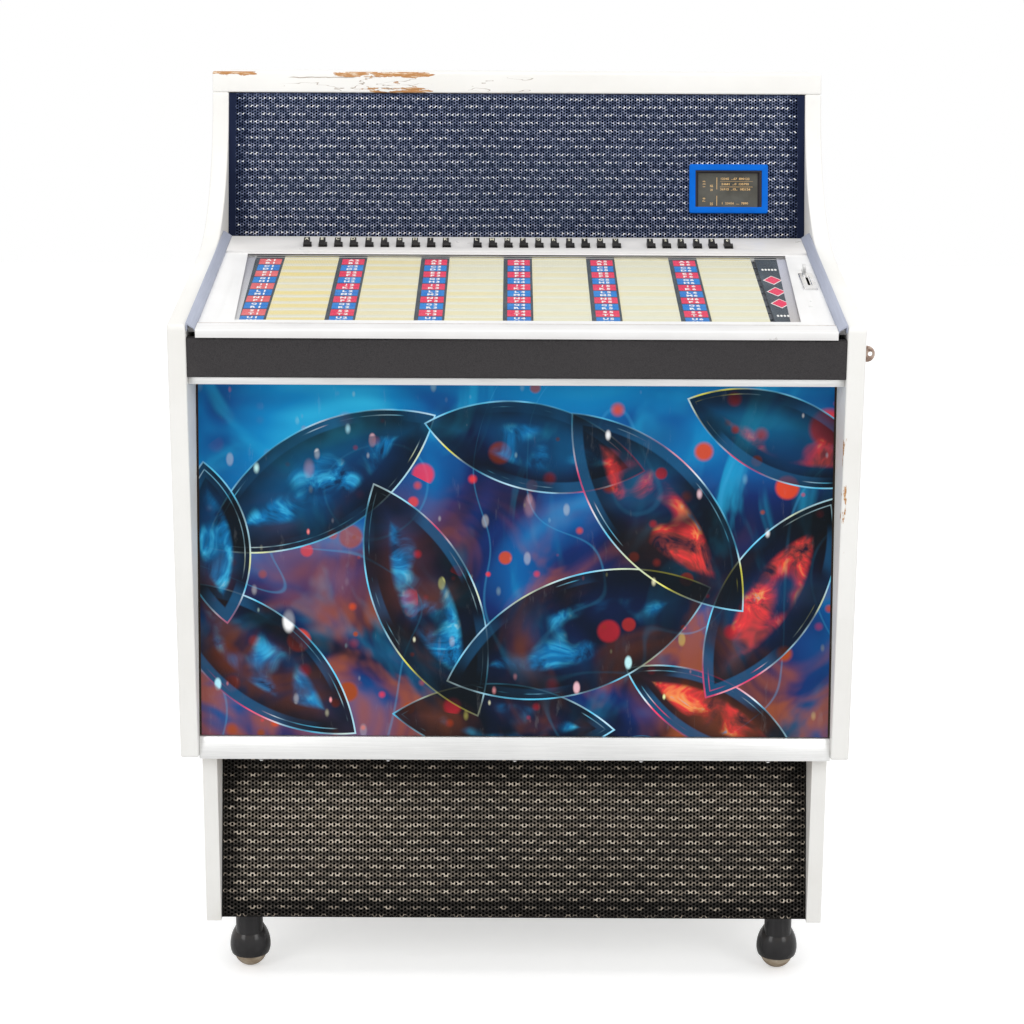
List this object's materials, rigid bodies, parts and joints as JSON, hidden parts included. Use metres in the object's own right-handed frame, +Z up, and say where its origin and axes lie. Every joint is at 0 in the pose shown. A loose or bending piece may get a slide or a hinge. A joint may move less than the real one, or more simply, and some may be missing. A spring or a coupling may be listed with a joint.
{
  "type": "jukebox",
  "caption": "Floor-standing jukebox with a hinged sloping selector lid, perforated head, leaning picture panel, plinth on ball casters and a ring-magazine record mechanism.",
  "frame": {"origin": "on the floor, in the middle of the cabinet's width and depth", "axes": "+Z up, the front faces -Y, +X to the right seen from the front"},
  "size_m": [0.913, 0.65, 1.235],
  "materials": {
    "white_paint": "worn semi-gloss paint on board",
    "board": "raw chipboard",
    "rear_board": "hardboard",
    "blue_grille": "dark blue perforated sheet",
    "brown_grille": "dark perforated sheet",
    "picture": "printed translucent sheet",
    "black_cloth": "fine-grained leathercloth",
    "aluminium": "brushed",
    "blue_plastic": "moulded bezel",
    "ear_steel": "browned steel",
    "steel": "zinc plated",
    "speaker_black": "paper cone and pressed basket",
    "white_enamel": "white enamel",
    "clear_glass": "clear",
    "rack_plastic": "cream plastic",
    "chrome": "polished",
    "magazine": "moulded",
    "vinyl": "grooved",
    "platter_rubber": "matt",
    "tone_plastic": "satin",
    "key_black": "moulded",
    "hood_black": "moulded",
    "ball_plastic": "worn"
  },
  "bodies": {
    "cabinet": {"side_panels": "white_paint", "top_board": "white_paint", "cabinet_frame": "board", "rear_panel": "rear_board", "plinth_box": "white_paint", "head_grille": "blue_grille", "plinth_grille": "brown_grille", "picture_panel": "picture", "apron_band": "black_cloth", "front_rails": "aluminium", "display_window": "blue_plastic", "lock_ear": "ear_steel", "hinge_rail": "steel", "loudspeakers": "speaker_black", "mech_chassis": "steel"},
    "lid": {"lid_frame": "white_enamel", "side_trims": "aluminium", "title_glass": "clear_glass", "title_rack": "rack_plastic", "coin_plate": "chrome"},
    "reject": {"reject_lever": "chrome"},
    "magazine": {"record_carousel": "magazine", "records": "vinyl"},
    "platter": {"turntable": "platter_rubber"},
    "gripper": {"gripper_arm": "steel"},
    "tone_arm": {"tone_arm": "tone_plastic"},
    "key_A": {"key_A": "key_black"},
    "key_B": {"key_B": "key_black"},
    "key_C": {"key_C": "key_black"},
    "key_D": {"key_D": "key_black"},
    "key_E": {"key_E": "key_black"},
    "key_F": {"key_F": "key_black"},
    "key_G": {"key_G": "key_black"},
    "key_H": {"key_H": "key_black"},
    "key_J": {"key_J": "key_black"},
    "key_K": {"key_K": "key_black"},
    "key_L": {"key_L": "key_black"},
    "key_M": {"key_M": "key_black"},
    "key_N": {"key_N": "key_black"},
    "key_P": {"key_P": "key_black"},
    "key_Q": {"key_Q": "key_black"},
    "key_R": {"key_R": "key_black"},
    "key_S": {"key_S": "key_black"},
    "key_T": {"key_T": "key_black"},
    "key_U": {"key_U": "key_black"},
    "key_V": {"key_V": "key_black"},
    "key_1": {"key_1": "key_black"},
    "key_2": {"key_2": "key_black"},
    "key_3": {"key_3": "key_black"},
    "key_4": {"key_4": "key_black"},
    "key_5": {"key_5": "key_black"},
    "key_6": {"key_6": "key_black"},
    "caster_1": {"caster_hood_1": "hood_black"},
    "wheel_1": {"caster_ball_1": "ball_plastic"},
    "caster_2": {"caster_hood_2": "hood_black"},
    "wheel_2": {"caster_ball_2": "ball_plastic"},
    "caster_3": {"caster_hood_3": "hood_black"},
    "wheel_3": {"caster_ball_3": "ball_plastic"},
    "caster_4": {"caster_hood_4": "hood_black"},
    "wheel_4": {"caster_ball_4": "ball_plastic"}
  },
  "joints": [
    {"name": "lid_hinge", "type": "hinge", "parent": "cabinet", "child": "lid", "pos_m": [0, 0.08299, 0.98733], "axis": [-1, 0, 0], "range_deg": [0, 60]},
    {"name": "key_A_press", "type": "slide", "parent": "lid", "child": "key_A", "axis": [0, 0.1994, -0.9799], "range_m": [0, 0.004], "stiffness_N_per_m": 150, "springref_m": -0.004},
    {"name": "key_B_press", "type": "slide", "parent": "lid", "child": "key_B", "axis": [0, 0.1994, -0.9799], "range_m": [0, 0.004], "stiffness_N_per_m": 150, "springref_m": -0.004},
    {"name": "key_C_press", "type": "slide", "parent": "lid", "child": "key_C", "axis": [0, 0.1994, -0.9799], "range_m": [0, 0.004], "stiffness_N_per_m": 150, "springref_m": -0.004},
    {"name": "key_D_press", "type": "slide", "parent": "lid", "child": "key_D", "axis": [0, 0.1994, -0.9799], "range_m": [0, 0.004], "stiffness_N_per_m": 150, "springref_m": -0.004},
    {"name": "key_E_press", "type": "slide", "parent": "lid", "child": "key_E", "axis": [0, 0.1994, -0.9799], "range_m": [0, 0.004], "stiffness_N_per_m": 150, "springref_m": -0.004},
    {"name": "key_F_press", "type": "slide", "parent": "lid", "child": "key_F", "axis": [0, 0.1994, -0.9799], "range_m": [0, 0.004], "stiffness_N_per_m": 150, "springref_m": -0.004},
    {"name": "key_G_press", "type": "slide", "parent": "lid", "child": "key_G", "axis": [0, 0.1994, -0.9799], "range_m": [0, 0.004], "stiffness_N_per_m": 150, "springref_m": -0.004},
    {"name": "key_H_press", "type": "slide", "parent": "lid", "child": "key_H", "axis": [0, 0.1994, -0.9799], "range_m": [0, 0.004], "stiffness_N_per_m": 150, "springref_m": -0.004},
    {"name": "key_J_press", "type": "slide", "parent": "lid", "child": "key_J", "axis": [0, 0.1994, -0.9799], "range_m": [0, 0.004], "stiffness_N_per_m": 150, "springref_m": -0.004},
    {"name": "key_K_press", "type": "slide", "parent": "lid", "child": "key_K", "axis": [0, 0.1994, -0.9799], "range_m": [0, 0.004], "stiffness_N_per_m": 150, "springref_m": -0.004},
    {"name": "key_L_press", "type": "slide", "parent": "lid", "child": "key_L", "axis": [0, 0.1994, -0.9799], "range_m": [0, 0.004], "stiffness_N_per_m": 150, "springref_m": -0.004},
    {"name": "key_M_press", "type": "slide", "parent": "lid", "child": "key_M", "axis": [0, 0.1994, -0.9799], "range_m": [0, 0.004], "stiffness_N_per_m": 150, "springref_m": -0.004},
    {"name": "key_N_press", "type": "slide", "parent": "lid", "child": "key_N", "axis": [0, 0.1994, -0.9799], "range_m": [0, 0.004], "stiffness_N_per_m": 150, "springref_m": -0.004},
    {"name": "key_P_press", "type": "slide", "parent": "lid", "child": "key_P", "axis": [0, 0.1994, -0.9799], "range_m": [0, 0.004], "stiffness_N_per_m": 150, "springref_m": -0.004},
    {"name": "key_Q_press", "type": "slide", "parent": "lid", "child": "key_Q", "axis": [0, 0.1994, -0.9799], "range_m": [0, 0.004], "stiffness_N_per_m": 150, "springref_m": -0.004},
    {"name": "key_R_press", "type": "slide", "parent": "lid", "child": "key_R", "axis": [0, 0.1994, -0.9799], "range_m": [0, 0.004], "stiffness_N_per_m": 150, "springref_m": -0.004},
    {"name": "key_S_press", "type": "slide", "parent": "lid", "child": "key_S", "axis": [0, 0.1994, -0.9799], "range_m": [0, 0.004], "stiffness_N_per_m": 150, "springref_m": -0.004},
    {"name": "key_T_press", "type": "slide", "parent": "lid", "child": "key_T", "axis": [0, 0.1994, -0.9799], "range_m": [0, 0.004], "stiffness_N_per_m": 150, "springref_m": -0.004},
    {"name": "key_U_press", "type": "slide", "parent": "lid", "child": "key_U", "axis": [0, 0.1994, -0.9799], "range_m": [0, 0.004], "stiffness_N_per_m": 150, "springref_m": -0.004},
    {"name": "key_V_press", "type": "slide", "parent": "lid", "child": "key_V", "axis": [0, 0.1994, -0.9799], "range_m": [0, 0.004], "stiffness_N_per_m": 150, "springref_m": -0.004},
    {"name": "key_1_press", "type": "slide", "parent": "lid", "child": "key_1", "axis": [0, 0.1994, -0.9799], "range_m": [0, 0.004], "stiffness_N_per_m": 150, "springref_m": -0.004},
    {"name": "key_2_press", "type": "slide", "parent": "lid", "child": "key_2", "axis": [0, 0.1994, -0.9799], "range_m": [0, 0.004], "stiffness_N_per_m": 150, "springref_m": -0.004},
    {"name": "key_3_press", "type": "slide", "parent": "lid", "child": "key_3", "axis": [0, 0.1994, -0.9799], "range_m": [0, 0.004], "stiffness_N_per_m": 150, "springref_m": -0.004},
    {"name": "key_4_press", "type": "slide", "parent": "lid", "child": "key_4", "axis": [0, 0.1994, -0.9799], "range_m": [0, 0.004], "stiffness_N_per_m": 150, "springref_m": -0.004},
    {"name": "key_5_press", "type": "slide", "parent": "lid", "child": "key_5", "axis": [0, 0.1994, -0.9799], "range_m": [0, 0.004], "stiffness_N_per_m": 150, "springref_m": -0.004},
    {"name": "key_6_press", "type": "slide", "parent": "lid", "child": "key_6", "axis": [0, 0.1994, -0.9799], "range_m": [0, 0.004], "stiffness_N_per_m": 150, "springref_m": -0.004},
    {"name": "reject_press", "type": "hinge", "parent": "lid", "child": "reject", "pos_m": [0.4, -0.07078, 0.96574], "axis": [-1, 0, 0], "range_deg": [0, 14], "stiffness_Nm_per_rad": 0.05, "springref_deg": -17.19},
    {"name": "magazine_turn", "type": "hinge", "parent": "cabinet", "child": "magazine", "pos_m": [-0.13125, 0.02551, 0.5633], "axis": [0, 0, 1], "continuous": true},
    {"name": "platter_spin", "type": "hinge", "parent": "cabinet", "child": "platter", "pos_m": [0.25025, 0.04251, 0.5633], "axis": [0, 1, 0], "continuous": true},
    {"name": "gripper_swing", "type": "hinge", "parent": "cabinet", "child": "gripper", "pos_m": [0.13625, 0.04251, 0.5633], "axis": [0, 1, 0], "range_deg": [-20, 90]},
    {"name": "tone_arm_swing", "type": "hinge", "parent": "cabinet", "child": "tone_arm", "pos_m": [0.35825, 0.04251, 0.6523], "axis": [0, 1, 0], "range_deg": [0, 22]},
    {"name": "caster_1_swivel", "type": "hinge", "parent": "cabinet", "child": "caster_1", "pos_m": [-0.373, -0.228, 0.089], "axis": [0, 0, 1], "continuous": true},
    {"name": "caster_1_roll", "type": "hinge", "parent": "caster_1", "child": "wheel_1", "pos_m": [-0.373, -0.221, 0.023], "axis": [1, 0, 0], "continuous": true},
    {"name": "caster_2_swivel", "type": "hinge", "parent": "cabinet", "child": "caster_2", "pos_m": [0.373, -0.228, 0.089], "axis": [0, 0, 1], "continuous": true},
    {"name": "caster_2_roll", "type": "hinge", "parent": "caster_2", "child": "wheel_2", "pos_m": [0.373, -0.221, 0.023], "axis": [1, 0, 0], "continuous": true},
    {"name": "caster_3_swivel", "type": "hinge", "parent": "cabinet", "child": "caster_3", "pos_m": [-0.373, 0.236, 0.089], "axis": [0, 0, 1], "continuous": true},
    {"name": "caster_3_roll", "type": "hinge", "parent": "caster_3", "child": "wheel_3", "pos_m": [-0.373, 0.243, 0.023], "axis": [1, 0, 0], "continuous": true},
    {"name": "caster_4_swivel", "type": "hinge", "parent": "cabinet", "child": "caster_4", "pos_m": [0.373, 0.236, 0.089], "axis": [0, 0, 1], "continuous": true},
    {"name": "caster_4_roll", "type": "hinge", "parent": "caster_4", "child": "wheel_4", "pos_m": [0.373, 0.243, 0.023], "axis": [1, 0, 0], "continuous": true}
  ]
}
